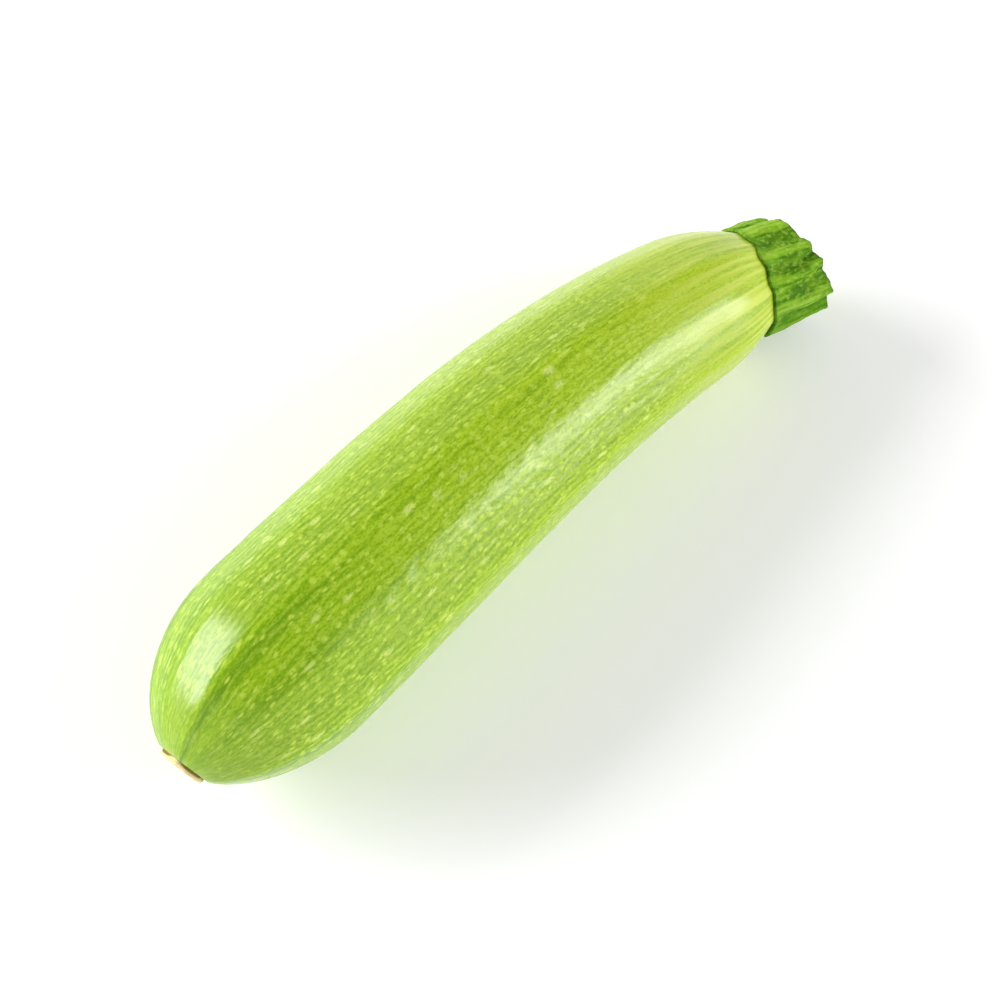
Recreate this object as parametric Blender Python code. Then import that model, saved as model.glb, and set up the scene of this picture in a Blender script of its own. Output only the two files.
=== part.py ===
"""A pale green courgette lying on a flat surface: one fruit, its cut stalk and its blossom scar.

Run with blender --background --python part.py, or from Blender's text editor.
Lengths are in metres. +X runs from the blossom end to the stalk, and +Z is up.
An angle round the fruit or the stalk starts at the side towards +Y and turns upwards.
"""

import math

import bpy
from mathutils import Vector

MM = 0.001
UP = Vector((0, 0, 1))
TOUCHING_GAP = 0.3 * MM

# Fruit: length from the end under the blossom scar to the end under the stalk
FRUIT_LENGTH = 185 * MM
BODY_RADIUS = 24.2 * MM
NECK_TAPER = 7.3 * MM
TAPER_START = 0.14
TAPER_POWER = 2.5
NECK_SWING = 12.5 * MM
SWING_START = 0.44
SWING_POWER = 2.55
BLOSSOM_DROOP = 4.7 * MM
BLOSSOM_TURN = 0.9 * MM
DROOP_END = 0.16
DROOP_POWER = 1.7
FLAT_DEPTH = 0.6 * MM

# Rounded ends, as shares of the fruit's length: how far each reaches, and how much of it is cut off
BLOSSOM_END_REACH = 0.195
BLOSSOM_END_CUT = 0.008
STALK_END_REACH = 0.156
STALK_END_CUT = 0.052

# Ribs of the fruit
RIBS = 5
RIB_TURN = math.radians(21.5)
RIB_HEIGHT = 0.9 * MM
RIB_HEIGHT_AT_ENDS = 0.8 * MM
WEAK_RIB_HEIGHT = 0.2 * MM
RIB_SOFTNESS = 0.12
RIB_MEAN = 0.34

# Stalk
STALK_RADIUS = 14.5 * MM
STALK_END_RADIUS = 13.8 * MM
STALK_LENGTH = 12.4 * MM
STALK_TURN = math.radians(3)
STALK_ASIDE = 0.8 * MM
CUT_SLOPE = 0.27
CUT_LONG_SIDE = math.radians(182)
CUT_RIM = 0.9 * MM
CUT_DISH = 0.8 * MM
GROOVE_DEPTH = 2.4 * MM
FOOT_REACH = 0.0064
FOOT_TILT = 0.007
FOOT_LONG_SIDE = math.radians(190)
LEAST_FOOT_REACH = 0.002
RIDGE_FOOT_REACH = 0.006
FOOT_GAP = (35, 30, 0.9)
FOOT_THICKNESS = 0.5 * MM
FOOT_BLEND = 0.25
# Each ridge of the stalk: its middle and half width in degrees, and its height beside the highest
STALK_RIDGES = [(62, 19, 1.0), (102, 9, 0.9), (130, 9, 0.8), (162, 13, 1.0), (196, 13, 0.9),
                (226, 12, 0.8), (257, 14, 1.0), (297, 14, 0.9), (338, 15, 1.0), (27, 22, 1.15)]

# Blossom scar
SCAR_RADIUS = 5.9 * MM
SCAR_THICKNESS = 1.3 * MM
SCAR_WAVE = 0.25 * MM

# Mesh resolution
FRUIT_AROUND = 40
FRUIT_ALONG = 48
STALK_AROUND = 72
SCAR_AROUND = 24

# Shares of the way at which the stalk's rings stand, from its underside over its foot and shaft to its cut
UNDER_SHARES = (0.5, 0.97)
FOOT_SHARES = (0.1, 0.5, 1)
SHAFT_SHARES = (0.06, 0.15, 0.3, 0.5, 0.7, 0.88, 0.97)
CUT_SHARES = (1, 0.6, 0.25)

# Colours, as linear red, green and blue
SKIN_GREEN = (0.33, 0.54, 0.03)
STALK_GREEN = (0.07, 0.23, 0.01)
SCAR_TAN = (0.52, 0.36, 0.15)


def clear_scene():
    for thing in list(bpy.data.objects):
        bpy.data.objects.remove(thing, do_unlink=True)


def clamp(value):
    return max(0.0, min(1.0, value))


def body_radius(along):
    """Radius of the fruit before its ends are rounded off; along is 0 at the blossom and 1 at the stalk."""
    beyond = clamp((along - TAPER_START) / (1 - TAPER_START))
    return BODY_RADIUS - NECK_TAPER * beyond ** TAPER_POWER


def rounded_end(depth, reach, cut):
    """Share of the radius left at a depth into a rounded end whose tip is cut off."""
    inside = clamp((depth + cut) / reach)
    return math.sqrt(1 - (1 - inside) ** 2)


def fruit_radius(along):
    blossom_end = rounded_end(along, BLOSSOM_END_REACH, BLOSSOM_END_CUT)
    stalk_end = rounded_end(1 - along, STALK_END_REACH, STALK_END_CUT)
    return body_radius(along) * blossom_end * stalk_end


def centre(along):
    """Centreline of the fruit: level along the belly, drooping to the blossom and swinging to the stalk."""
    swing = clamp((along - SWING_START) / (1 - SWING_START)) ** SWING_POWER
    droop = clamp(1 - along / DROOP_END) ** DROOP_POWER
    x = (along - 0.5) * FRUIT_LENGTH
    y = -NECK_SWING * swing - BLOSSOM_TURN * droop
    z = body_radius(along) - FLAT_DEPTH - BLOSSOM_DROOP * droop
    return Vector((x, y, z))


def directions(along):
    """Directions along the fruit, to its side and away from the surface that it lies on."""
    step = 0.001
    ahead = (centre(min(1, along + step)) - centre(max(0, along - step))).normalized()
    side = UP.cross(ahead).normalized()
    return ahead, side, ahead.cross(side)


def rib_height(along, angle):
    """Sharp crests with soft hollows between them, strongest towards both ends."""
    height = RIB_HEIGHT + RIB_HEIGHT_AT_ENDS * abs(2 * along - 1) ** 4
    main = 1 - math.hypot(math.sin(RIBS * (angle - RIB_TURN) / 2), RIB_SOFTNESS) - RIB_MEAN
    weak = math.cos(2 * RIBS * (angle - RIB_TURN))
    return (height * main + WEAK_RIB_HEIGHT * weak) * fruit_radius(along) / BODY_RADIUS


def fruit_point(along, angle):
    """A point of the fruit's skin, pressed flat where it lies on the surface."""
    ahead, side, up = directions(along)
    outward = side * math.cos(angle) + up * math.sin(angle)
    point = centre(along) + outward * (fruit_radius(along) + rib_height(along, angle))
    point.z = max(point.z, 0)
    return point


def fruit_normal(along, angle):
    step = 0.002
    across = fruit_point(along, angle + step) - fruit_point(along, angle - step)
    lengthwise = fruit_point(along, angle) - fruit_point(along - step, angle)
    return across.cross(lengthwise).normalized()


def angles(count):
    return [2 * math.pi * k / count for k in range(count)]


def skin_object(name, rings, first_pole, last_pole, material):
    """One closed body through rings of points, from one pole to the other."""
    count = len(rings[0])
    points = [first_pole] + [point for ring in rings for point in ring] + [last_pole]
    faces = []
    for k in range(count):
        following = (k + 1) % count
        faces.append((0, 1 + following, 1 + k))
        for row in range(len(rings) - 1):
            near, far = 1 + row * count, 1 + (row + 1) * count
            faces.append((near + k, near + following, far + following, far + k))
        last = 1 + (len(rings) - 1) * count
        faces.append((last + k, last + following, len(points) - 1))
    mesh = bpy.data.meshes.new(name)
    mesh.from_pydata(points, [], faces)
    mesh.shade_smooth()
    mesh.materials.append(material)
    thing = bpy.data.objects.new(name, mesh)
    bpy.context.scene.collection.objects.link(thing)
    return thing


def make_material(name, colour, roughness):
    material = bpy.data.materials.new(name)
    material.use_nodes = True
    shader = material.node_tree.nodes["Principled BSDF"]
    shader.inputs["Base Color"].default_value = (*colour, 1)
    shader.inputs["Roughness"].default_value = roughness
    shader.inputs["Metallic"].default_value = 0
    return material


def fruit_stations():
    """Places of the fruit's rings, closer together towards the rounded ends."""
    for k in range(FRUIT_ALONG + 1):
        even = k / FRUIT_ALONG
        crowded = (1 - math.cos(math.pi * even)) / 2
        yield 0.3 * even + 0.7 * crowded


def make_fruit():
    rings = [[fruit_point(along, angle) for angle in angles(FRUIT_AROUND)] for along in fruit_stations()]
    skin = make_material("courgette_skin", SKIN_GREEN, 0.3)
    return skin_object("fruit", rings, centre(0), centre(1), skin)


def ridge(angle):
    """Height of the stalk's ridges, from 0 in a groove to 1 on a crest."""
    height = 0
    for middle, width, crest in STALK_RIDGES:
        away = math.remainder(angle - math.radians(middle), 2 * math.pi) / math.radians(width)
        height = max(height, crest * math.exp(-away ** 2))
    return height


def stalk_axis():
    """Start of the stalk's axis with its directions, turned a little further than the end of the fruit."""
    ahead, side, up = directions(1)
    start = centre(1) - side * STALK_ASIDE
    turned = ahead * math.cos(STALK_TURN) - side * math.sin(STALK_TURN)
    return start, turned, up.cross(turned), up


def stalk_point(distance, radius, angle):
    """A point at a distance along the stalk's axis, counted from the end of the fruit."""
    start, ahead, side, up = stalk_axis()
    return start + ahead * distance + (side * math.cos(angle) + up * math.sin(angle)) * radius


def cut_distance(radius, angle):
    """Distance along the stalk to its slanting cut."""
    return STALK_LENGTH + CUT_SLOPE * radius * math.cos(angle - CUT_LONG_SIDE)


def under_ring(share):
    """Ring of the stalk's underside against the flat end of the fruit."""
    gap = directions(1)[0] * TOUCHING_GAP
    return [centre(1).lerp(fruit_point(1, angle), share) + gap for angle in angles(STALK_AROUND)]


def foot_reach(angle):
    """How far the stalk's foot lies back over the fruit's shoulder, as a share of the fruit's length."""
    reach = max(LEAST_FOOT_REACH, FOOT_REACH + FOOT_TILT * math.cos(angle - FOOT_LONG_SIDE))
    middle, width, depth = FOOT_GAP
    turned = (angle - math.radians(middle) + math.pi) % (2 * math.pi) - math.pi
    gap = depth * math.exp(-(turned / math.radians(width)) ** 2)
    return (reach + RIDGE_FOOT_REACH * ridge(angle)) * (1 - gap)


def foot_ring(back, thickness):
    """Ring over the fruit's shoulder; back is the share of the foot's reach that it covers."""
    ring = []
    for angle in angles(STALK_AROUND):
        along = 1 - back * foot_reach(angle)
        ring.append(fruit_point(along, angle) + fruit_normal(along, angle) * (TOUCHING_GAP + thickness))
    return ring


def shaft_ring(share):
    """Ring round the grooved shaft, at a share of the way from the foot to the cut."""
    start, ahead, _, _ = stalk_axis()
    ring = []
    for angle, foot in zip(angles(STALK_AROUND), foot_ring(1, FOOT_THICKNESS)):
        crest = STALK_RADIUS + (STALK_END_RADIUS - STALK_RADIUS) * share ** 2
        radius = crest - GROOVE_DEPTH * math.sin(math.pi * min(share + 0.1, 0.6)) * (1 - ridge(angle))
        foot_distance = (foot - start).dot(ahead)
        distance = foot_distance + (cut_distance(radius, angle) - foot_distance) * share
        merged = max(0, 1 - share / FOOT_BLEND) ** 2
        ring.append(foot * merged + stalk_point(distance, radius, angle) * (1 - merged))
    return ring


def cut_ring(share):
    """Ring on the cut face, at a share of the cut's radius from its middle."""
    ring = []
    for angle in angles(STALK_AROUND):
        edge = STALK_END_RADIUS - GROOVE_DEPTH * math.sin(math.pi * 0.6) * (1 - ridge(angle))
        radius = (edge - CUT_RIM) * share
        ring.append(stalk_point(cut_distance(radius, angle) - CUT_DISH * (1 - share), radius, angle))
    return ring


def make_stalk():
    underside = [under_ring(share) for share in UNDER_SHARES] + [foot_ring(back, 0) for back in FOOT_SHARES]
    shaft = [foot_ring(1, FOOT_THICKNESS)] + [shaft_ring(share) for share in SHAFT_SHARES]
    cut = [cut_ring(share) for share in CUT_SHARES]
    bottom = centre(1) + directions(1)[0] * TOUCHING_GAP
    top = stalk_point(STALK_LENGTH - CUT_DISH, 0, 0)
    green = make_material("stalk_green", STALK_GREEN, 0.6)
    return skin_object("stalk", underside + shaft + cut, bottom, top, green)


def scar_ring(radius, outward):
    """Slightly uneven ring of the blossom scar."""
    ahead, side, up = directions(0)
    ring = []
    for angle in angles(SCAR_AROUND):
        wave = SCAR_WAVE * (math.sin(3 * angle + 1) + 0.7 * math.sin(5 * angle)) * radius / SCAR_RADIUS
        arm = side * math.cos(angle) + up * math.sin(angle)
        ring.append(centre(0) + arm * (radius + wave) - ahead * outward)
    return ring


def make_scar():
    front = TOUCHING_GAP + SCAR_THICKNESS
    rings = [
        scar_ring(SCAR_RADIUS * 0.35, front),
        scar_ring(SCAR_RADIUS * 0.7, front + 0.1 * MM),
        scar_ring(SCAR_RADIUS * 0.92, front - 0.3 * MM),
        scar_ring(SCAR_RADIUS, front / 2),
        scar_ring(SCAR_RADIUS * 0.95, TOUCHING_GAP),
        scar_ring(SCAR_RADIUS * 0.5, TOUCHING_GAP),
    ]
    ahead = directions(0)[0]
    outer = centre(0) - ahead * (front - 0.3 * MM)
    inner = centre(0) - ahead * TOUCHING_GAP
    tan = make_material("scar_tan", SCAR_TAN, 0.8)
    return skin_object("blossom_scar", rings, outer, inner, tan)


def centre_over_origin(things):
    """Puts the middle of the whole courgette's footprint over the origin."""
    points = [vertex.co for thing in things for vertex in thing.data.vertices]
    middle_x = (min(point.x for point in points) + max(point.x for point in points)) / 2
    middle_y = (min(point.y for point in points) + max(point.y for point in points)) / 2
    courgette = bpy.data.objects.new("courgette", None)
    bpy.context.scene.collection.objects.link(courgette)
    courgette.location = (-middle_x, -middle_y, 0)
    for thing in things:
        thing.parent = courgette


def main():
    clear_scene()
    centre_over_origin([make_fruit(), make_stalk(), make_scar()])


main()
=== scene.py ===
"""Dressed courgette: a finer fruit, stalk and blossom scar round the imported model, in a pale studio."""

import math

import bpy
import numpy as np
from mathutils import Matrix, Vector, noise


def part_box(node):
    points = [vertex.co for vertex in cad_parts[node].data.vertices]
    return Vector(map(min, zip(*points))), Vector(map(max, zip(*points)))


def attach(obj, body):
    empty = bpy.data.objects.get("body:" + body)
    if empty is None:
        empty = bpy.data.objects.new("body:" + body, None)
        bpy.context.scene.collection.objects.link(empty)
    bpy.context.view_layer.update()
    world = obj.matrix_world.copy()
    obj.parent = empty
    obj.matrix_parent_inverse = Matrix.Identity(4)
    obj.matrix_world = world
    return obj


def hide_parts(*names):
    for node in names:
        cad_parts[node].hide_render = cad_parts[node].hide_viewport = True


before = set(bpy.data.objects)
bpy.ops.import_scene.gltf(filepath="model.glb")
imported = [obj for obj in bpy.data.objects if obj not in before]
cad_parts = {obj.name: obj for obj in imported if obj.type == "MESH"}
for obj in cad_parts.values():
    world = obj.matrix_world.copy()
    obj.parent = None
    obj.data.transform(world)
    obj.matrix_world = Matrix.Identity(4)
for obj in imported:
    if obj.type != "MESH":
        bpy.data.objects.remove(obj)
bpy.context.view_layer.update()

MM = 0.001
UP = np.array([0.0, 0.0, 1.0])
TOUCHING_GAP = 0.3 * MM
BAKE_MAP = "OFBake"

# Shape of the fruit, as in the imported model
FRUIT_LENGTH = 185 * MM
BODY_RADIUS = 24.2 * MM
NECK_TAPER = 7.3 * MM
TAPER_START = 0.14
TAPER_POWER = 2.5
NECK_SWING = 12.5 * MM
SWING_START = 0.44
SWING_POWER = 2.55
BLOSSOM_DROOP = 4.7 * MM
BLOSSOM_TURN = 0.9 * MM
DROOP_END = 0.16
DROOP_POWER = 1.7
FLAT_DEPTH = 0.6 * MM
BLOSSOM_END_REACH = 0.195
BLOSSOM_END_CUT = 0.008
STALK_END_REACH = 0.156
STALK_END_CUT = 0.052
RIBS = 5
RIB_TURN = math.radians(21.5)
RIB_HEIGHT = 0.9 * MM
RIB_HEIGHT_AT_ENDS = 0.8 * MM
WEAK_RIB_HEIGHT = 0.2 * MM
RIB_SOFTNESS = 0.12
RIB_MEAN = 0.34

# Shape of the stalk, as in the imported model
STALK_RADIUS = 14.5 * MM
STALK_END_RADIUS = 13.8 * MM
STALK_LENGTH = 12.4 * MM
STALK_TURN = math.radians(3)
STALK_ASIDE = 0.8 * MM
CUT_SLOPE = 0.27
CUT_LONG_SIDE = math.radians(182)
CUT_RIM = 0.9 * MM
CUT_DISH = 0.8 * MM
GROOVE_DEPTH = 2.4 * MM
FOOT_REACH = 0.0064
FOOT_TILT = 0.007
FOOT_LONG_SIDE = math.radians(190)
LEAST_FOOT_REACH = 0.002
RIDGE_FOOT_REACH = 0.006
FOOT_GAP = (35, 30, 0.9)
FOOT_THICKNESS = 0.5 * MM
FOOT_BLEND = 0.25
GROOVE_START = 0.1
GROOVE_END = 0.6
LIP_DROP = 0.22 * MM
STALK_RIDGES = [(62, 19, 1.0), (102, 9, 0.9), (130, 9, 0.8), (162, 13, 1.0), (196, 13, 0.9),
                (226, 12, 0.8), (257, 14, 1.0), (297, 14, 0.9), (338, 15, 1.0), (27, 22, 1.15)]

# Shape of the blossom scar: its radius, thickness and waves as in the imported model, then how hollow its
# face is and how far its back lies from the fruit
SCAR_RADIUS = 5.9 * MM
SCAR_THICKNESS = 1.3 * MM
SCAR_WAVE = 0.25 * MM
SCAR_HOLLOW = 0.3 * MM
SCAR_BACK = TOUCHING_GAP / 4

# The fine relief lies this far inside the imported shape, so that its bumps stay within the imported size
RELIEF_INSET = 0.15 * MM

# Fine relief of the skin: how deep it is, and how far apart its bumps are along and across.
# It fades out within this height over the floor, and between these shares of the length at each end,
# the pores already further from the ends.
LUMP_HEIGHT = 0.1 * MM
LUMP_SIZE = 14 * MM
FIBRE_HEIGHT = 0.02 * MM
FIBRE_SIZE = (40 * MM, 1.3 * MM)
PORE_HEIGHT = 0.09 * MM
PORE_SIZE = (3.2 * MM, 1.6 * MM)
FLOOR_FADE = 1 * MM
RELIEF_START = (0, 0.02)
RELIEF_END = (1, 0.97)
PORE_START = (0.05, 0.3)
PORE_END = (0.95, 0.6)

# Fine relief of the stalk: how far its ridges waver and how quickly, and its strands and warts.
# Its markings are laid out on a round rod of this radius. The wavering and the relief grow from the foot.
RIDGE_SWAY = 0.12
SWAYS_ALONG = 2.2
SWAYS_AROUND = 2.5
SWAY_GROWTH = 3
STALK_ROD = 13 * MM
STRAND_HEIGHT = 0.35 * MM
STRAND_SIZE = (9 * MM, 1.5 * MM)
WART_HEIGHT = 0.1 * MM
WART_SIZE = (1.1 * MM, 1.0 * MM)
STALK_RELIEF_START = (0.02, 0.2)

# Crumbs of the cork: how deep they are, and how far apart
CORK_HEIGHT = 0.16 * MM
CORK_SIZE = 1.6 * MM

# Where the noise of each kind of relief is read
NOISE_SEEDS = {"bands": 0.5, "lumps": 3.1, "fibres": 11.7, "pores": 5.3, "ridges": 8.4, "strands": 2.6,
               "warts": 9.2, "cork": 6.3, "crumbs": 1.9}

# Resolution of the fine pieces
FRUIT_AROUND = 400
FRUIT_ALONG = 236
STALK_AROUND = 480
SCAR_AROUND = 180
SCAR_RINGS = 43

# Rings of the stalk, as shares of its underside, of its foot's reach and thickness, of its shaft and
# of its cut
UNDER_SHARES = np.linspace(0.2, 0.97, 5)
REACH_SHARES = np.linspace(0.1, 1, 6)
FOOT_SHARES = (0.1, 0.45, 0.8)
SHAFT_SHARES = np.linspace(0, 0.97, 90)
CUT_SHARES = np.linspace(1, 0.04, 40)

# Camera, set to the photograph's viewing angle
CAMERA_TURN = math.radians(-48.39)
CAMERA_TILT = math.radians(61.28)
CAMERA_DISTANCE = 552.8 * MM
CAMERA_LENS = 85
CAMERA_TARGET = Vector((3.11, -9.07, 20)) * MM

# Studio lights: turn from +X, lift from the floor and roll in degrees, then width and height and radiance
LIGHT_DISTANCE = 2.2
RIGHT_LIGHT = (-53, 19, 0, 0.76, 1.4, 9.8)
LEFT_LIGHT = (122, 25, -25, 1.7, 0.8, 12.6)

# Surroundings: their light near the horizon and overhead, and the heights between which it changes
HORIZON_LIGHT = 1.13
ZENITH_LIGHT = 0.25
SKY_CHANGE = (0.3, 0.8)

# Floor: its size, its faint glow, its two greys, how fine and how detailed their noise is, and its shine
FLOOR_SIZE = 6
FLOOR_GLOW = 0.12
FLOOR_GREYS = (0.93, 0.96)
FLOOR_GRAIN = (3.0, 2.0)
FLOOR_ROUGHNESS = 0.9
FLOOR_SHINE = 0.1


def colour(red, green, blue):
    """Linear colour from the 0 to 255 values of a screen."""
    def linear(value):
        share = value / 255
        return share / 12.92 if share <= 0.04045 else ((share + 0.055) / 1.055) ** 2.4
    return (linear(red), linear(green), linear(blue), 1)


# Colours of the skin
DEEP_SKIN = colour(94, 140, 0)
LOW_SKIN = colour(146, 185, 10)
HIGH_SKIN = colour(171, 198, 32)
DASH_SKIN = colour(181, 208, 68)
FLECK_SKIN = colour(203, 220, 112)
PALE_SKIN = colour(134, 164, 38)
NECK_SKIN = colour(178, 198, 54)
PALE_NECK_SKIN = colour(194, 208, 82)

# Colours of the stalk and of the blossom scar
# The darkest green gives the stalk's grooves, dark strands and ends, and also painted shade in the grooves,
# on the ridges' flanks and on the underside
GROOVE_AND_SHADE_GREEN = colour(58, 110, 0)
STALK_GREEN = colour(124, 174, 24)
BRIGHT_GREEN = colour(136, 180, 38)
# The crest green also paints glints on the bristles
CREST_AND_GLINT_GREEN = colour(164, 200, 74)
PITH_GREEN = colour(176, 194, 118)
CORK_TAN = colour(232, 212, 156)
CORK_BROWN = colour(138, 108, 26)

# Darker and paler bands down the fruit: how far past each rib, and how wide, in degrees. The middle one
# has a share of the strength of the near one. Both fade to their least strength between two shares of
# the length, and end between two others.
NEAR_BAND = (6.5, 4.5)
MIDDLE_BAND = (30, 6.5)
PALE_BAND = (58, 16)
MIDDLE_SHARE = 0.6
LEAST_BAND = 0.1
BAND_FADE = (0.34, 0.1)
BAND_END = (1, 0.8)

# How strong the bands are, and how far and how slowly they waver
DARK_STRENGTH = 0.85
PALE_STRENGTH = 0.6
BAND_SWAY = 0.05
BAND_SWAY_SIZE = (30 * MM, 20 * MM)

# Rows of dashes down the skin: how many there are round it, and how far they sway, slowly and quickly
SKIN_ROWS = 82
ROW_SWAY = 2.4
ROW_SWAY_SIZE = (45, 9)
QUICK_SWAY = 1.2
QUICK_SWAY_SIZE = (7, 3)

# Dashes and larger flecks: the cell that each lies in, in millimetres along and in rows across, its size
# and the share of the cells that have one
DASH_CELL = (3.2, 0.8)
DASH_SIZE = 0.36
DASH_SHARE = 0.75
FLECK_CELL = (8, 1.6)
FLECK_SIZE = 0.28
FLECK_SHARE = 0.45

# The dashes and flecks are solid within this share of their size, and fainter in this share of the cells
SOLID_SHARE = 0.3
STRENGTH_SPREAD = 0.4

# Markings of the skin and of the stalk, in millimetres along and across
MOTTLE = (18, 5)
BREAKS = (3.4, 1.0)
GRAIN = (0.8, 0.4)
NECK_STREAKS = (26, 1.6)
BROAD_STREAKS = (34, 3.4)
WAX = (1.6, 1.0)
STEM_STRANDS = (6, 0.9)
STEM_PATCHES = (5, 2)
# The bristles' noise gives their bump and also places painted glints
BRISTLES_AND_GLINTS = (1.0, 0.9)
PITH = (3.0, 3.0)

# Shine and bump of each surface: range of roughness, then strength and depth of the bump
SKIN_ROUGHNESS = (0.22, 0.28)
SKIN_IOR = 1.42
SKIN_BUMP = (0.2, 0.0002)
STALK_ROUGHNESS = (0.55, 0.75)
STALK_IOR = 1.2
STALK_BUMP = (0.5, 0.0005)
CORK_ROUGHNESS = (0.65, 0.9)
CORK_BUMP = (0.7, 0.0004)
ROUGHNESS_NOISE = (0.3, 0.7)
STREAK_BUMP = 0.3
STRAND_BUMP = 0.6

# Ranges for the colours of the skin: from the first to the second value of a noise, a wave or a place
# along the fruit, a marking grows from nothing to its full strength, or between two given strengths
BODY_CHANGE = (0.0, 0.9)
MOTTLE_SHADE = (0.5, 0.3, 0.0, 0.22)
BELLY_START = (0.01, 0.1)
BELLY_END = (0.95, 0.7)
BELLY_LINES = (0, 1, 0.55, 1.0)
BELLY_FLECKS = (0, 1, 0.3, 0.85)
BELLY_WAX = (0, 1, 0.1, 1.0)
DARK_LINES = (-0.4, 1.0)
DARK_BREAKS = (0.65, 0.4, 0.05, 0.45)
PALE_LINES = (0.6, -1.0)
PALE_BREAKS = (0.35, 0.65, 0.05, 0.45)
DARK_GRAIN = (0.52, 0.3, 0.0, 0.5)
PALE_GRAIN = (0.52, 0.7, 0.0, 0.3)
NECK_START = (0.7, 1.0)
NECK_CHANGE = (0.36, 0.62)
NECK_SHOWN = (0.38, 0.58, 0.15, 1.0)

# Ranges for the colours of the stalk: of its ridges, darker in the grooves and on the flanks partly as
# painted shade, its markings, painted glints on its bristles, its two ends, painted shade on its underside,
# which is given in millimetres, and its cut
# Grooves take the darkest green, partly as painted shade
RIDGE_CHANGE = (0.05, 0.7)
BRIGHT_PATCHES = (0.38, 0.7, 0.0, 0.7)
DARK_STRANDS = (0.58, 0.34, 0.0, 0.5)
# Flanks of the ridges darkened as painted shade
FLANK_START = (0.25, 0.5)
FLANK_END = (0.85, 0.6)
FLANK_BREAKS = (0.6, 0.4, 0.2, 0.8)
CREST_LINES = (0.78, 0.94)
CREST_BREAKS = (0.36, 0.6)
CREST_STRENGTH = 0.55
# Painted glints on the bristles
PAINTED_BRISTLE_GLINTS = (0.44, 0.8, 0.0, 0.6)
DARK_FOOT = (0.16, 0.0, 0.0, 0.45)
DARK_END = (0.86, 1.0, 0.0, 0.45)
# Painted shade on the underside
PAINTED_UNDERSIDE_SHADE = (10, -5, 0.0, 0.5)
PITH_CLOUDS = (0.35, 0.65, 0.0, 0.4)
PITH_START = (0.03, 0.16)

# Grain and blotches of the cork: how fine and how detailed they are, how far the blotches shift its dark
# edge, and the ranges of the edge and of dark specks
CORK_GRAIN = (700.0, 4.0)
CORK_BLOTCHES = (220.0, 2.0)
BLOTCH_SHARE = 1.4
CORK_EDGE = (0.6, 0.95)
CORK_SPECKS = (0.6, 0.75, 0.0, 0.5)

# The texture map reaches from one end of the fruit to the other, and leaves this margin at each end
MAP_MARGIN = 0.01


def clamp(value):
    return np.clip(value, 0.0, 1.0)


def smooth_step(low, high, value):
    """0 below low, 1 above high and a soft rise between."""
    t = clamp((value - low) / (high - low))
    return t * t * (3 - 2 * t)


def unit(vectors):
    return vectors / np.linalg.norm(vectors, axis=-1, keepdims=True)


# Shape of the fruit

def body_radius(along):
    return BODY_RADIUS - NECK_TAPER * clamp((along - TAPER_START) / (1 - TAPER_START)) ** TAPER_POWER


def rounded_end(depth, reach, cut):
    """Share of the radius left at a depth into a rounded end whose tip is cut off."""
    return np.sqrt(1 - (1 - clamp((depth + cut) / reach)) ** 2)


def fruit_radius(along):
    blossom_end = rounded_end(along, BLOSSOM_END_REACH, BLOSSOM_END_CUT)
    stalk_end = rounded_end(1 - along, STALK_END_REACH, STALK_END_CUT)
    return body_radius(along) * blossom_end * stalk_end


def centre(along):
    """Centreline of the fruit, from the blossom end at 0 to the stalk at 1."""
    along = np.asarray(along, float)
    swing = clamp((along - SWING_START) / (1 - SWING_START)) ** SWING_POWER
    droop = clamp(1 - along / DROOP_END) ** DROOP_POWER
    x = (along - 0.5) * FRUIT_LENGTH
    y = -NECK_SWING * swing - BLOSSOM_TURN * droop
    z = body_radius(along) - FLAT_DEPTH - BLOSSOM_DROOP * droop
    return np.stack([x, y, z], axis=-1)


def directions(along):
    """Directions along the fruit, to its side and away from the floor."""
    step = 0.001
    ahead = unit(centre(np.minimum(1, along + step)) - centre(np.maximum(0, along - step)))
    side = unit(np.cross(UP, ahead))
    return ahead, side, np.cross(ahead, side)


def spoke(angle, side, up):
    """Direction outwards at an angle that starts at the side and turns upwards."""
    return np.cos(angle)[..., None] * side + np.sin(angle)[..., None] * up


def rib_profile(angle):
    return 1 - np.hypot(np.sin(RIBS * (angle - RIB_TURN) / 2), RIB_SOFTNESS) - RIB_MEAN


def rib_height(along, angle):
    height = RIB_HEIGHT + RIB_HEIGHT_AT_ENDS * np.abs(2 * along - 1) ** 4
    weak = WEAK_RIB_HEIGHT * np.cos(2 * RIBS * (angle - RIB_TURN))
    return (height * rib_profile(angle) + weak) * fruit_radius(along) / BODY_RADIUS


def fruit_point(along, angle):
    """Points of the skin without its fine relief, pressed flat on the floor."""
    along, angle = np.broadcast_arrays(along, angle)
    _, side, up = directions(along)
    radius = fruit_radius(along) + rib_height(along, angle)
    points = centre(along) + spoke(angle, side, up) * radius[..., None]
    points[..., 2] = np.maximum(points[..., 2], 0)
    return points


def fruit_normal(along, angle):
    step = 0.002
    across = fruit_point(along, angle + step) - fruit_point(along, angle - step)
    lengthwise = fruit_point(along, angle) - fruit_point(along - step, angle)
    return unit(np.cross(across, lengthwise))


def grown_place(along, angle):
    """Places on the skin as if the fruit were a straight round rod, where its markings run parallel."""
    along, angle = np.broadcast_arrays(along, angle)
    across = np.cos(angle) * BODY_RADIUS, np.sin(angle) * BODY_RADIUS
    return np.stack([along * FRUIT_LENGTH, *across], axis=-1)


def noise_field(places, sizes, kind):
    """Smooth noise from about -1 to 1, whose bumps have these sizes along and across."""
    scaled = places / np.array([sizes[0], sizes[1], sizes[1]]) + NOISE_SEEDS[kind]
    flat = [noise.noise(Vector(place)) for place in scaled.reshape(-1, 3)]
    return np.array(flat).reshape(places.shape[:-1])


# Meshes from grids of points

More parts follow.
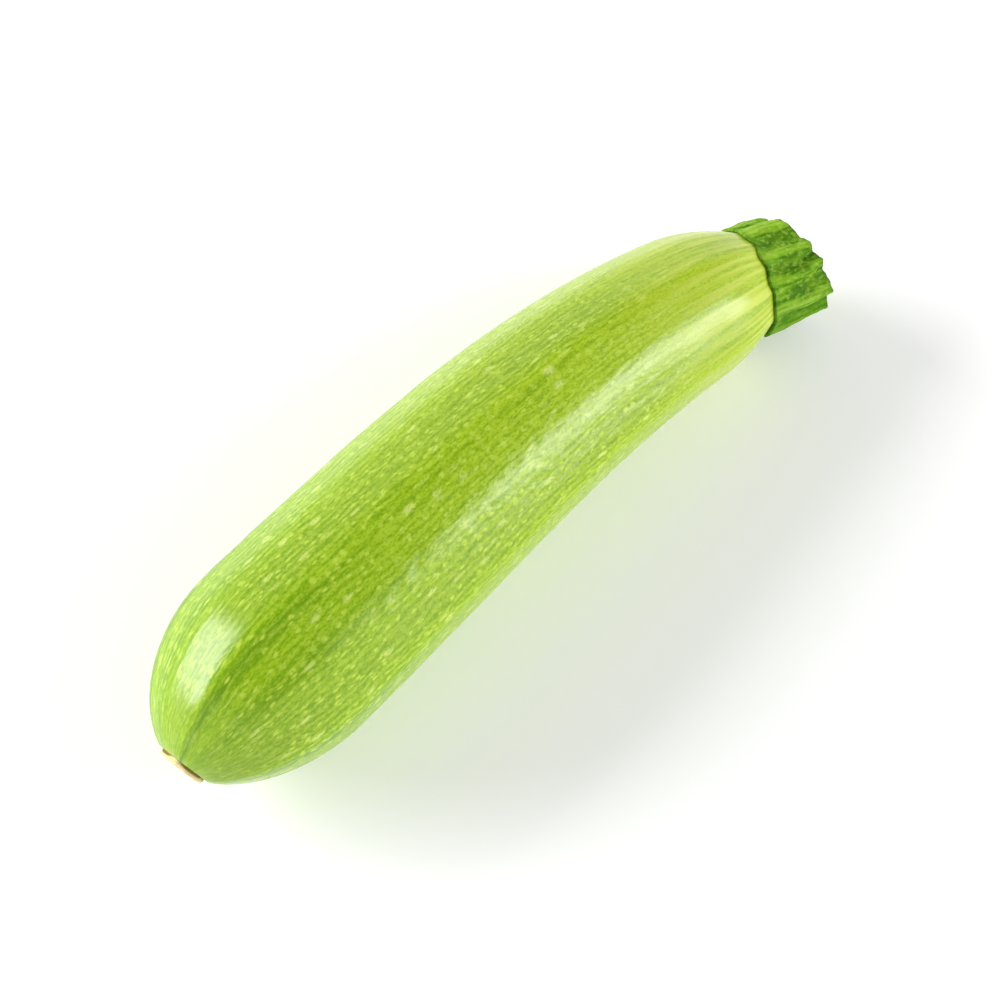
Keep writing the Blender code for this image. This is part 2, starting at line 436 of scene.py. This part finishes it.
def grid_mesh(name, grid, first_pole, last_pole, levels=None, vectors=None, values=None):
    """One closed piece through rows of points, with a pole at each end and a map for its textures."""
    rows, count = grid.shape[:2]
    points = np.concatenate([[first_pole], grid.reshape(-1, 3), [last_pole]])
    heights = np.linspace(0, 1, rows + 2) if levels is None else np.concatenate([[0], levels, [1]])
    faces, places = [], []
    for k in range(count):
        after = (k + 1) % count
        left, right = k / count, (k + 1) / count
        for row in range(rows + 1):
            low, high = heights[row], heights[row + 1]
            near, far = 1 + (row - 1) * count, 1 + row * count
            if row == 0:
                faces.append((0, far + after, far + k))
                places += [(left, low), (right, high), (left, high)]
            elif row == rows:
                faces.append((near + k, near + after, len(points) - 1))
                places += [(left, low), (right, low), (left, high)]
            else:
                faces.append((near + k, near + after, far + after, far + k))
                places += [(left, low), (right, low), (right, high), (left, high)]
    mesh = bpy.data.meshes.new(name)
    mesh.from_pydata(points.tolist(), [], faces)
    mesh.shade_smooth()
    mesh.uv_layers.new(name=BAKE_MAP).data.foreach_set("uv", np.array(places, np.float32).ravel())
    for key, field in (vectors or {}).items():
        padded = np.concatenate([field[0].mean(0)[None], field.reshape(-1, 3), field[-1].mean(0)[None]])
        mesh.attributes.new(key, "FLOAT_VECTOR", "POINT").data.foreach_set("vector", padded.ravel())
    for key, field in (values or {}).items():
        padded = np.concatenate([[field[0].mean()], field.ravel(), [field[-1].mean()]])
        mesh.attributes.new(key, "FLOAT", "POINT").data.foreach_set("value", padded)
    thing = bpy.data.objects.new(name, mesh)
    bpy.context.scene.collection.objects.link(thing)
    return thing


def angles(count):
    """Angles round a piece, starting underneath."""
    return (np.arange(count) / count - 0.25) * 2 * math.pi


# Fruit

def fruit_stations(count):
    """Places of the rings, closer together towards the rounded ends."""
    even = np.arange(count + 1) / count
    return 0.5 * even + 0.25 * (1 - np.cos(math.pi * even))


def skin_bands(along, angle):
    """Strength of the darker bands beside and between the ribs, and of the paler ones, each wavering."""
    angle = angle + BAND_SWAY * noise_field(grown_place(along, angle), BAND_SWAY_SIZE, "bands")
    past_rib = np.degrees(np.mod(angle - RIB_TURN, 2 * math.pi / RIBS))
    near, middle, pale = (np.exp(-((past_rib - place) / width) ** 2) for place, width in
                          (NEAR_BAND, MIDDLE_BAND, PALE_BAND))
    fade = LEAST_BAND + (1 - LEAST_BAND) * smooth_step(*BAND_FADE, along)
    return np.maximum(near, MIDDLE_SHARE * middle) * fade * smooth_step(*BAND_END, along), pale


def skin_relief(along, angle):
    """Height of the skin's fine relief: slow lumps, lengthwise fibres, and pores away from the ends."""
    places = grown_place(along, angle)
    lumps = LUMP_HEIGHT * noise_field(places, (LUMP_SIZE, LUMP_SIZE), "lumps")
    fibres = FIBRE_HEIGHT * noise_field(places, FIBRE_SIZE, "fibres")
    middle = smooth_step(*PORE_START, along) * smooth_step(*PORE_END, along)
    pores = PORE_HEIGHT * noise_field(places, PORE_SIZE, "pores") * middle
    return lumps + fibres + pores


def make_fruit():
    along, angle = np.meshgrid(fruit_stations(FRUIT_ALONG), angles(FRUIT_AROUND), indexing="ij")
    points = fruit_point(along, angle)
    off_floor = smooth_step(0, FLOOR_FADE, points[..., 2])
    relief = skin_relief(along, angle) * off_floor - RELIEF_INSET * off_floor
    relief *= smooth_step(*RELIEF_END, along) * smooth_step(*RELIEF_START, along)
    points += fruit_normal(along, angle) * relief[..., None]
    points[..., 2] = np.maximum(points[..., 2], 0)
    grown = grown_place(along, angle) / MM
    dark, pale = skin_bands(along, angle)
    levels = MAP_MARGIN + fruit_stations(FRUIT_ALONG) * (1 - 2 * MAP_MARGIN)
    return grid_mesh("fruit_skin", points, centre(0), centre(1), levels, {"grown": grown},
                     {"along": along, "band": dark, "pale": pale})


# Stalk

def ridge(angle):
    """Height of the stalk's ridges, from 0 in a groove to 1 on a crest."""
    height = np.zeros_like(angle)
    for middle, width, crest in STALK_RIDGES:
        turned = np.mod(angle - math.radians(middle) + math.pi, 2 * math.pi) - math.pi
        height = np.maximum(height, crest * np.exp(-(turned / math.radians(width)) ** 2))
    return height


def stalk_axis():
    ahead, side, up = directions(np.array(1.0))
    turned = ahead * math.cos(STALK_TURN) - side * math.sin(STALK_TURN)
    return centre(1) - side * STALK_ASIDE, turned, np.cross(up, turned), up


def stalk_point(distance, radius, angle):
    start, ahead, side, up = stalk_axis()
    return start + ahead * distance[..., None] + spoke(angle, side, up) * radius[..., None]


def cut_distance(radius, angle):
    return STALK_LENGTH + CUT_SLOPE * radius * np.cos(angle - CUT_LONG_SIDE)


def foot_reach(angle):
    """How far the stalk's foot lies back over the fruit's shoulder, as a share of the fruit's length."""
    reach = np.maximum(LEAST_FOOT_REACH, FOOT_REACH + FOOT_TILT * np.cos(angle - FOOT_LONG_SIDE))
    middle, width, depth = FOOT_GAP
    turned = np.mod(angle - math.radians(middle) + math.pi, 2 * math.pi) - math.pi
    gap = depth * np.exp(-(turned / math.radians(width)) ** 2)
    return (reach + RIDGE_FOOT_REACH * ridge(angle)) * (1 - gap)


def foot_ring(back, thickness, angle):
    """Ring over the fruit's shoulder; back is the share of the foot's reach that it covers."""
    along = 1 - back * foot_reach(angle)
    return fruit_point(along, angle) + fruit_normal(along, angle) * (TOUCHING_GAP + thickness)


def under_ring(share, angle):
    """Ring of the stalk's underside against the flat end of the fruit."""
    ahead = directions(np.array(1.0))[0]
    return centre(1) + (fruit_point(np.ones_like(angle), angle) - centre(1)) * share + ahead * TOUCHING_GAP


def wavering_ridge(share, angle):
    """The ridges where they waver a little, at a share of the way from the foot to the cut."""
    around = np.cos(angle) * SWAYS_AROUND, np.sin(angle) * SWAYS_AROUND
    places = np.stack([share * SWAYS_ALONG + 0 * angle, *around], axis=-1)
    sway = RIDGE_SWAY * noise_field(places, (1, 1), "ridges") * min(1, share * SWAY_GROWTH)
    return ridge(angle + sway)


def groove_depth(share):
    """Depth of the grooves at a share of the way from the foot to the cut."""
    return GROOVE_DEPTH * math.sin(math.pi * min(share + GROOVE_START, GROOVE_END))


def shaft_ring(share, angle):
    """Ring round the grooved shaft, at a share of the way from the foot to the cut."""
    start, ahead, _, _ = stalk_axis()
    foot = foot_ring(1, FOOT_THICKNESS, angle)
    crest = STALK_RADIUS + (STALK_END_RADIUS - STALK_RADIUS) * share ** 2
    radius = crest - groove_depth(share) * (1 - wavering_ridge(share, angle))
    foot_distance = (foot - start) @ ahead
    distance = foot_distance + (cut_distance(radius, angle) - foot_distance) * share
    merged = max(0, 1 - share / FOOT_BLEND) ** 2
    return foot * merged + stalk_point(distance, radius, angle) * (1 - merged)


def cut_ring(share, angle):
    """Ring of the hollow cut, at a share of the way from its middle to its rim."""
    edge = STALK_END_RADIUS - groove_depth(1) * (1 - wavering_ridge(1, angle))
    radius = (edge - CUT_RIM) * share
    return stalk_point(cut_distance(radius, angle) - CUT_DISH * (1 - share), radius, angle)


def grid_normals(grid):
    """Outward normals of a grid of rings, from the differences between neighbouring points."""
    around = np.roll(grid, -1, axis=1) - np.roll(grid, 1, axis=1)
    return unit(np.cross(around, np.gradient(grid, axis=0)))


def stalk_rings(angle):
    """Rings from the underside over the foot and the shaft to the middle of the cut, and where the
    shaft and the cut start among them."""
    rings = [under_ring(share, angle) for share in UNDER_SHARES]
    rings += [foot_ring(back, -LIP_DROP * back ** 2, angle) for back in REACH_SHARES]
    rings += [foot_ring(1, FOOT_THICKNESS * share, angle) for share in FOOT_SHARES]
    shaft_start = len(rings)
    rings += [shaft_ring(share, angle) for share in SHAFT_SHARES]
    cut_start = len(rings)
    rings += [cut_ring(share, angle) for share in CUT_SHARES]
    return np.stack(rings), shaft_start, cut_start


def make_stalk():
    angle = angles(STALK_AROUND)
    grid, shaft_start, cut_start = stalk_rings(angle)
    rows = np.arange(len(grid))[:, None] + 0 * angle
    shaft = clamp((rows - shaft_start) / (cut_start - shaft_start))
    inward = clamp((rows - cut_start) / (len(grid) - 1 - cut_start))
    across = (part * STALK_ROD + 0 * rows for part in (np.cos(angle), np.sin(angle)))
    grown = np.stack([shaft * STALK_LENGTH, *across], axis=-1)
    grown[..., 1:] *= 1 - inward[..., None]
    relief = STRAND_HEIGHT * noise_field(grown, STRAND_SIZE, "strands")
    relief += WART_HEIGHT * noise_field(grown, WART_SIZE, "warts")
    relief -= RELIEF_INSET
    grid += grid_normals(grid) * (relief * smooth_step(*STALK_RELIEF_START, shaft))[..., None]
    crest = np.stack([wavering_ridge(share, angle) for share in shaft[:, 0]])
    values = {"shaft": shaft, "inward": inward, "on_cut": (rows >= cut_start).astype(float), "crest": crest}
    bottom = centre(1) + directions(np.array(1.0))[0] * TOUCHING_GAP
    top = stalk_point(np.array(STALK_LENGTH - CUT_DISH), np.array(0.0), np.array(0.0))
    return grid_mesh("stalk_grooved", grid, bottom, top, None, {"grown": grown / MM}, values)


# Blossom scar

def scar_ring(radius, outward, angle):
    ahead, side, up = directions(np.array(0.0))
    wave = SCAR_WAVE * (np.sin(3 * angle + 1) + 0.7 * np.sin(5 * angle)) * radius / SCAR_RADIUS
    return centre(0) + spoke(angle, side, up) * (radius + wave)[..., None] - ahead * outward


def scar_profile():
    """Shares of the radius and distances from the fruit, from the middle of the face round the rim."""
    front = TOUCHING_GAP + SCAR_THICKNESS
    corners = np.array([(0.1, front - SCAR_HOLLOW), (0.35, front - 0.1 * MM), (0.75, front),
                        (0.95, front - 0.25 * MM), (1.0, front / 2), (0.97, SCAR_BACK), (0.5, SCAR_BACK)])
    steps = np.linspace(0, len(corners) - 1, SCAR_RINGS)
    return [np.interp(steps, np.arange(len(corners)), column) for column in corners.T]


def make_scar():
    """Corky disc with a ragged rim and a rough, slightly hollow face."""
    angle = angles(SCAR_AROUND)
    shares, levels = scar_profile()
    rings = [scar_ring(SCAR_RADIUS * share, level, angle) for share, level in zip(shares, levels)]
    grid = np.stack(rings)
    across = (np.outer(shares, part) * SCAR_RADIUS for part in (np.cos(angle), np.sin(angle)))
    places = np.stack([levels[:, None] + 0 * angle, *across], axis=-1)
    crumbs = noise_field(places, (CORK_SIZE, CORK_SIZE), "cork")
    crumbs += 0.5 * noise_field(places, (CORK_SIZE / 2, CORK_SIZE / 2), "crumbs")
    rough = smooth_step(SCAR_BACK, TOUCHING_GAP, levels)[:, None]
    grid -= grid_normals(grid) * (CORK_HEIGHT * (crumbs + 1) * rough)[..., None]
    depth = np.repeat((levels[:, None] - TOUCHING_GAP) / SCAR_THICKNESS, SCAR_AROUND, axis=1)
    ahead = directions(np.array(0.0))[0]
    face = centre(0) - ahead * (TOUCHING_GAP + SCAR_THICKNESS - SCAR_HOLLOW)
    back = centre(0) - ahead * SCAR_BACK
    return grid_mesh("scar_cork", grid, face, back, None, None, {"depth": depth})


# Materials

def add(tree, kind, inputs=None, **settings):
    """Adds a node; inputs maps a socket's name or number to a value or to another node's output."""
    made = tree.nodes.new(kind)
    for key, value in settings.items():
        setattr(made, key, value)
    for key, value in (inputs or {}).items():
        if isinstance(value, bpy.types.NodeSocket):
            tree.links.new(value, made.inputs[key])
        else:
            made.inputs[key].default_value = value
    return made


def attribute(tree, name, output="Fac"):
    return add(tree, "ShaderNodeAttribute", attribute_name=name).outputs[output]


def stretched(tree, place, lengthwise, across):
    """Coordinates in which a feature of this length and width, in millimetres, measures 1."""
    scale = (1 / lengthwise, 1 / across, 1 / across)
    return add(tree, "ShaderNodeVectorMath", {0: place, 1: scale}, operation="MULTIPLY").outputs[0]


def fuzz(tree, place, lengthwise, across, detail=2.0):
    """Noise whose bumps have this length and width, in millimetres."""
    inputs = {"Vector": stretched(tree, place, lengthwise, across), "Scale": 1.0, "Detail": detail}
    return add(tree, "ShaderNodeTexNoise", inputs).outputs["Fac"]


def even_noise(tree, scale, detail):
    """Noise of the same size in all directions, which grows finer with its scale."""
    place = add(tree, "ShaderNodeTexCoord").outputs["Object"]
    inputs = {"Vector": place, "Scale": scale, "Detail": detail}
    return add(tree, "ShaderNodeTexNoise", inputs).outputs["Fac"]


def remap(tree, value, low, high, to_low=0.0, to_high=1.0):
    """Soft change from one strength to the other as the value goes from low to high."""
    inputs = {"Value": value, "From Min": low, "From Max": high, "To Min": to_low, "To Max": to_high}
    return add(tree, "ShaderNodeMapRange", inputs, interpolation_type="SMOOTHSTEP").outputs["Result"]


def maths(tree, operation, first, second=0.0):
    return add(tree, "ShaderNodeMath", {0: first, 1: second}, operation=operation).outputs[0]


def times(tree, first, second):
    return maths(tree, "MULTIPLY", first, second)


def mixed(tree, share, first, second):
    return add(tree, "ShaderNodeMix", {0: share, 6: first, 7: second}, data_type="RGBA").outputs[2]


def set_surface(tree, shader, height, bump, wear, roughness):
    """Bump of this strength and depth from a height, and a range of roughness from a noise."""
    bumped = add(tree, "ShaderNodeBump", {"Height": height, "Strength": bump[0], "Distance": bump[1]})
    tree.links.new(bumped.outputs[0], shader.inputs["Normal"])
    tree.links.new(remap(tree, wear, *ROUGHNESS_NOISE, *roughness), shader.inputs["Roughness"])


def flecks(tree, place, size, share):
    """Mask of small flat spots, one in each cell of 1 by 1, in this share of the cells."""
    inputs = {"Vector": place, "Scale": 1.0, "Randomness": 1.0}
    cell = add(tree, "ShaderNodeTexVoronoi", inputs, voronoi_dimensions="2D")
    spot = remap(tree, cell.outputs["Distance"], size, size * SOLID_SHARE)
    lot = add(tree, "ShaderNodeSeparateColor", {0: cell.outputs["Color"]}).outputs[0]
    return times(tree, spot, remap(tree, lot, 1 - share, 1 - share + STRENGTH_SPREAD))


def new_material(name):
    material = bpy.data.materials.new(name)
    material.use_nodes = True
    tree = material.node_tree
    return material, tree, tree.nodes["Principled BSDF"]


def rows_of_skin(tree, place):
    """Distance along the unrolled skin, in millimetres, and the number of the swaying row there."""
    unrolled = add(tree, "ShaderNodeUVMap", uv_map=BAKE_MAP).outputs[0]
    sheet = add(tree, "ShaderNodeSeparateXYZ", {0: unrolled})
    lengthwise = times(tree, sheet.outputs[1], FRUIT_LENGTH / MM / (1 - 2 * MAP_MARGIN))
    slow = times(tree, fuzz(tree, place, *ROW_SWAY_SIZE, detail=1.0), ROW_SWAY)
    quick = times(tree, fuzz(tree, place, *QUICK_SWAY_SIZE, detail=1.0), QUICK_SWAY)
    sway = maths(tree, "ADD", slow, quick)
    return lengthwise, maths(tree, "ADD", times(tree, sheet.outputs[0], SKIN_ROWS), sway)


def row_place(tree, lengthwise, row, cell):
    """Place on the unrolled skin in cells of this length and of this many rows."""
    inputs = {0: maths(tree, "DIVIDE", lengthwise, cell[0]), 1: maths(tree, "DIVIDE", row, cell[1])}
    return add(tree, "ShaderNodeCombineXYZ", inputs).outputs[0]


def ground_of_skin(tree, along, mottle):
    """Mottled green, with darker and paler bands down the fruit."""
    base = mixed(tree, remap(tree, along, *BODY_CHANGE), LOW_SKIN, HIGH_SKIN)
    base = mixed(tree, remap(tree, mottle, *MOTTLE_SHADE), base, DEEP_SKIN)
    base = mixed(tree, times(tree, attribute(tree, "band"), DARK_STRENGTH), base, DEEP_SKIN)
    return mixed(tree, times(tree, attribute(tree, "pale"), PALE_STRENGTH), base, PALE_SKIN)


def dashes_of_skin(tree, place, belly, base):
    """Broken pale and dark lines in rows, dashes and larger flecks along them, and a fine grain."""
    lengthwise, row = rows_of_skin(tree, place)
    shown = remap(tree, belly, *BELLY_LINES)
    wave = maths(tree, "COSINE", times(tree, row, 2 * math.pi))
    broken = fuzz(tree, place, *BREAKS)
    gaps = times(tree, remap(tree, wave, *DARK_LINES), remap(tree, broken, *DARK_BREAKS))
    base = mixed(tree, times(tree, gaps, shown), base, DEEP_SKIN)
    lines = times(tree, remap(tree, wave, *PALE_LINES), remap(tree, broken, *PALE_BREAKS))
    base = mixed(tree, times(tree, lines, shown), base, DASH_SKIN)
    small = flecks(tree, row_place(tree, lengthwise, row, DASH_CELL), DASH_SIZE, DASH_SHARE)
    base = mixed(tree, times(tree, small, shown), base, DASH_SKIN)
    large = flecks(tree, row_place(tree, lengthwise, row, FLECK_CELL), FLECK_SIZE, FLECK_SHARE)
    base = mixed(tree, times(tree, large, remap(tree, belly, *BELLY_FLECKS)), base, FLECK_SKIN)
    grain = fuzz(tree, place, *GRAIN, detail=1.0)
    base = mixed(tree, remap(tree, grain, *DARK_GRAIN), base, DEEP_SKIN)
    return mixed(tree, remap(tree, grain, *PALE_GRAIN), base, DASH_SKIN)


def neck_of_skin(tree, place, along, streaks, base):
    """Pale streaks over the skin towards the stalk."""
    broad = fuzz(tree, place, *BROAD_STREAKS, detail=1.0)
    pale = mixed(tree, remap(tree, broad, *NECK_CHANGE), NECK_SKIN, PALE_NECK_SKIN)
    shown = times(tree, remap(tree, along, *NECK_START), remap(tree, streaks, *NECK_SHOWN))
    return mixed(tree, shown, base, pale)


def skin_material():
    """Waxy skin: pale dashes in lengthwise rows on mottled green, paler and streaked towards the stalk."""
    material, tree, shader = new_material("courgette_skin")
    place = attribute(tree, "grown", "Vector")
    along = attribute(tree, "along")
    mottle = fuzz(tree, place, *MOTTLE, detail=3.0)
    streaks = fuzz(tree, place, *NECK_STREAKS)
    belly = times(tree, remap(tree, along, *BELLY_START), remap(tree, along, *BELLY_END))
    base = ground_of_skin(tree, along, mottle)
    base = dashes_of_skin(tree, place, belly, base)
    base = neck_of_skin(tree, place, along, streaks, base)
    tree.links.new(base, shader.inputs["Base Color"])
    wax = times(tree, fuzz(tree, place, *WAX), remap(tree, belly, *BELLY_WAX))
    height = maths(tree, "ADD", wax, times(tree, streaks, STREAK_BUMP))
    set_surface(tree, shader, height, SKIN_BUMP, mottle, SKIN_ROUGHNESS)
    shader.inputs["IOR"].default_value = SKIN_IOR
    return material


def side_of_stalk(tree, place, strands, patches, bristles_and_glints):
    """Dark grooves and flanks, partly painted shade, bright patches, pale crests, painted glints on the
    bristles, darker ends, and painted shade on the underside.
    """
    crest = attribute(tree, "crest")
    shaft = attribute(tree, "shaft")
    # Grooves take the darkest green: partly the stem's own colour, partly painted shade
    base = mixed(tree, remap(tree, crest, *RIDGE_CHANGE), GROOVE_AND_SHADE_GREEN, STALK_GREEN)
    base = mixed(tree, remap(tree, patches, *BRIGHT_PATCHES), base, BRIGHT_GREEN)
    base = mixed(tree, remap(tree, strands, *DARK_STRANDS), base, GROOVE_AND_SHADE_GREEN)
    # The ridges' flanks are darkened as painted shade
    shaded_flank = times(tree, remap(tree, crest, *FLANK_START), remap(tree, crest, *FLANK_END))
    shaded_flank = times(tree, shaded_flank, remap(tree, strands, *FLANK_BREAKS))
    base = mixed(tree, shaded_flank, base, GROOVE_AND_SHADE_GREEN)
    line = times(tree, remap(tree, crest, *CREST_LINES), remap(tree, strands, *CREST_BREAKS))
    base = mixed(tree, times(tree, line, CREST_STRENGTH), base, CREST_AND_GLINT_GREEN)
    # Pale specks on the bristles are painted glints
    base = mixed(tree, remap(tree, bristles_and_glints, *PAINTED_BRISTLE_GLINTS), base, CREST_AND_GLINT_GREEN)
    ends = maths(tree, "MAXIMUM", remap(tree, shaft, *DARK_FOOT), remap(tree, shaft, *DARK_END))
    base = mixed(tree, ends, base, GROOVE_AND_SHADE_GREEN)
    # The underside is darkened as painted shade, by height
    height = add(tree, "ShaderNodeSeparateXYZ", {0: place}).outputs[2]
    return mixed(tree, remap(tree, height, *PAINTED_UNDERSIDE_SHADE), base, GROOVE_AND_SHADE_GREEN)


def stalk_material():
    """Green stem, dark grooves partly painted shade, painted glints on its bristles, pale pith on the cut.
    """
    material, tree, shader = new_material("stalk_stem")
    place = attribute(tree, "grown", "Vector")
    strands = fuzz(tree, place, *STEM_STRANDS, detail=3.0)
    patches = fuzz(tree, place, *STEM_PATCHES)
    # Bristle noise: their bump, and painted glints on them
    bristles_and_glints = fuzz(tree, place, *BRISTLES_AND_GLINTS, detail=1.0)
    base = side_of_stalk(tree, place, strands, patches, bristles_and_glints)
    clouds = fuzz(tree, place, *PITH, detail=3.0)
    pith = mixed(tree, remap(tree, clouds, *PITH_CLOUDS), PITH_GREEN, STALK_GREEN)
    pith = mixed(tree, remap(tree, attribute(tree, "inward"), *PITH_START), STALK_GREEN, pith)
    base = mixed(tree, attribute(tree, "on_cut"), base, pith)
    tree.links.new(base, shader.inputs["Base Color"])
    height = maths(tree, "ADD", times(tree, strands, STRAND_BUMP), bristles_and_glints)
    set_surface(tree, shader, height, STALK_BUMP, patches, STALK_ROUGHNESS)
    shader.inputs["IOR"].default_value = STALK_IOR
    return material


def scar_material():
    """Dry tan cork, dark where it meets the skin."""
    material, tree, shader = new_material("scar_cork")
    grain = even_noise(tree, *CORK_GRAIN)
    blotches = times(tree, even_noise(tree, *CORK_BLOTCHES), BLOTCH_SHARE)
    depth = maths(tree, "ADD", attribute(tree, "depth"), blotches)
    base = mixed(tree, remap(tree, depth, *CORK_EDGE), CORK_BROWN, CORK_TAN)
    base = mixed(tree, remap(tree, grain, *CORK_SPECKS), base, CORK_BROWN)
    tree.links.new(base, shader.inputs["Base Color"])
    set_surface(tree, shader, grain, CORK_BUMP, grain, CORK_ROUGHNESS)
    return material


def floor_material():
    material, tree, shader = new_material("studio_floor")
    low, high = ((grey, grey, grey, 1) for grey in FLOOR_GREYS)
    grain = even_noise(tree, *FLOOR_GRAIN)
    tree.links.new(mixed(tree, grain, low, high), shader.inputs["Base Color"])
    shader.inputs["Roughness"].default_value = FLOOR_ROUGHNESS
    shader.inputs["Specular IOR Level"].default_value = FLOOR_SHINE
    shader.inputs["Emission Color"].default_value = (1, 1, 1, 1)
    shader.inputs["Emission Strength"].default_value = FLOOR_GLOW
    return material


# Studio

def make_floor():
    bpy.ops.mesh.primitive_plane_add(size=FLOOR_SIZE)
    floor = bpy.context.object
    floor.name = "studio_floor"
    floor.data.materials.append(floor_material())


def from_direction(turn, lift):
    """Unit vector towards a light at this turn from +X and this lift from the floor, in degrees."""
    turn, lift = math.radians(turn), math.radians(lift)
    return Vector((math.cos(turn) * math.cos(lift), math.sin(turn) * math.cos(lift), math.sin(lift)))


def make_softbox(name, turn, lift, roll, width, height, radiance):
    lamp = bpy.data.lights.new(name, "AREA")
    lamp.shape = "RECTANGLE"
    lamp.size, lamp.size_y = width, height
    lamp.energy = radiance * math.pi * width * height
    holder = bpy.data.objects.new(name, lamp)
    towards = from_direction(turn, lift)
    holder.location = towards * LIGHT_DISTANCE
    aim = towards.to_track_quat("Z", "Y").to_matrix() @ Matrix.Rotation(math.radians(roll), 3, "Z")
    holder.rotation_euler = aim.to_euler()
    bpy.context.scene.collection.objects.link(holder)


def make_world():
    """Pale surroundings, brighter near the horizon than overhead."""
    world = bpy.data.worlds.new("studio")
    world.use_nodes = True
    tree = world.node_tree
    view = add(tree, "ShaderNodeTexCoord").outputs["Generated"]
    height = add(tree, "ShaderNodeSeparateXYZ", {0: view}).outputs[2]
    strength = remap(tree, height, *SKY_CHANGE, HORIZON_LIGHT, ZENITH_LIGHT)
    background = tree.nodes["Background"]
    tree.links.new(strength, background.inputs["Strength"])
    background.inputs["Color"].default_value = (1, 1, 1, 1)
    bpy.context.scene.world = world


def make_camera(offset):
    """Camera at the photograph's viewing angle, aimed at a place on the fruit, whose offset is given."""
    level = math.cos(CAMERA_TILT)
    back = Vector((math.sin(CAMERA_TURN) * level, -math.cos(CAMERA_TURN) * level, math.sin(CAMERA_TILT)))
    camera = bpy.data.cameras.new("camera")
    camera.lens = CAMERA_LENS
    camera.clip_start = 0.01
    holder = bpy.data.objects.new("camera", camera)
    holder.location = offset + CAMERA_TARGET + back * CAMERA_DISTANCE
    holder.rotation_euler = back.to_track_quat("Z", "Y").to_euler()
    bpy.context.scene.collection.objects.link(holder)
    bpy.context.scene.camera = holder


def main():
    fruit, stalk, scar = make_fruit(), make_stalk(), make_scar()
    low, high = (np.array(corner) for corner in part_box("fruit"))
    points = np.array([vertex.co for vertex in fruit.data.vertices])
    middle = (points.min(0) + points.max(0)) / 2
    offset = Vector((*((low + high) / 2 - middle)[:2], 0))
    pieces = [(fruit, "fruit", "skin", skin_material()), (stalk, "stalk", "stalk", stalk_material()),
              (scar, "blossom_scar", "scar", scar_material())]
    for piece, node, slot, material in pieces:
        piece.data.transform(Matrix.Translation(offset))
        piece.data.materials.append(material)
        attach(piece, "root")
        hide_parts(node)
    make_camera(offset)
    make_world()
    make_softbox("right_softbox", *RIGHT_LIGHT)
    make_softbox("left_softbox", *LEFT_LIGHT)
    make_floor()
    bpy.context.scene.view_settings.view_transform = "Standard"


main()
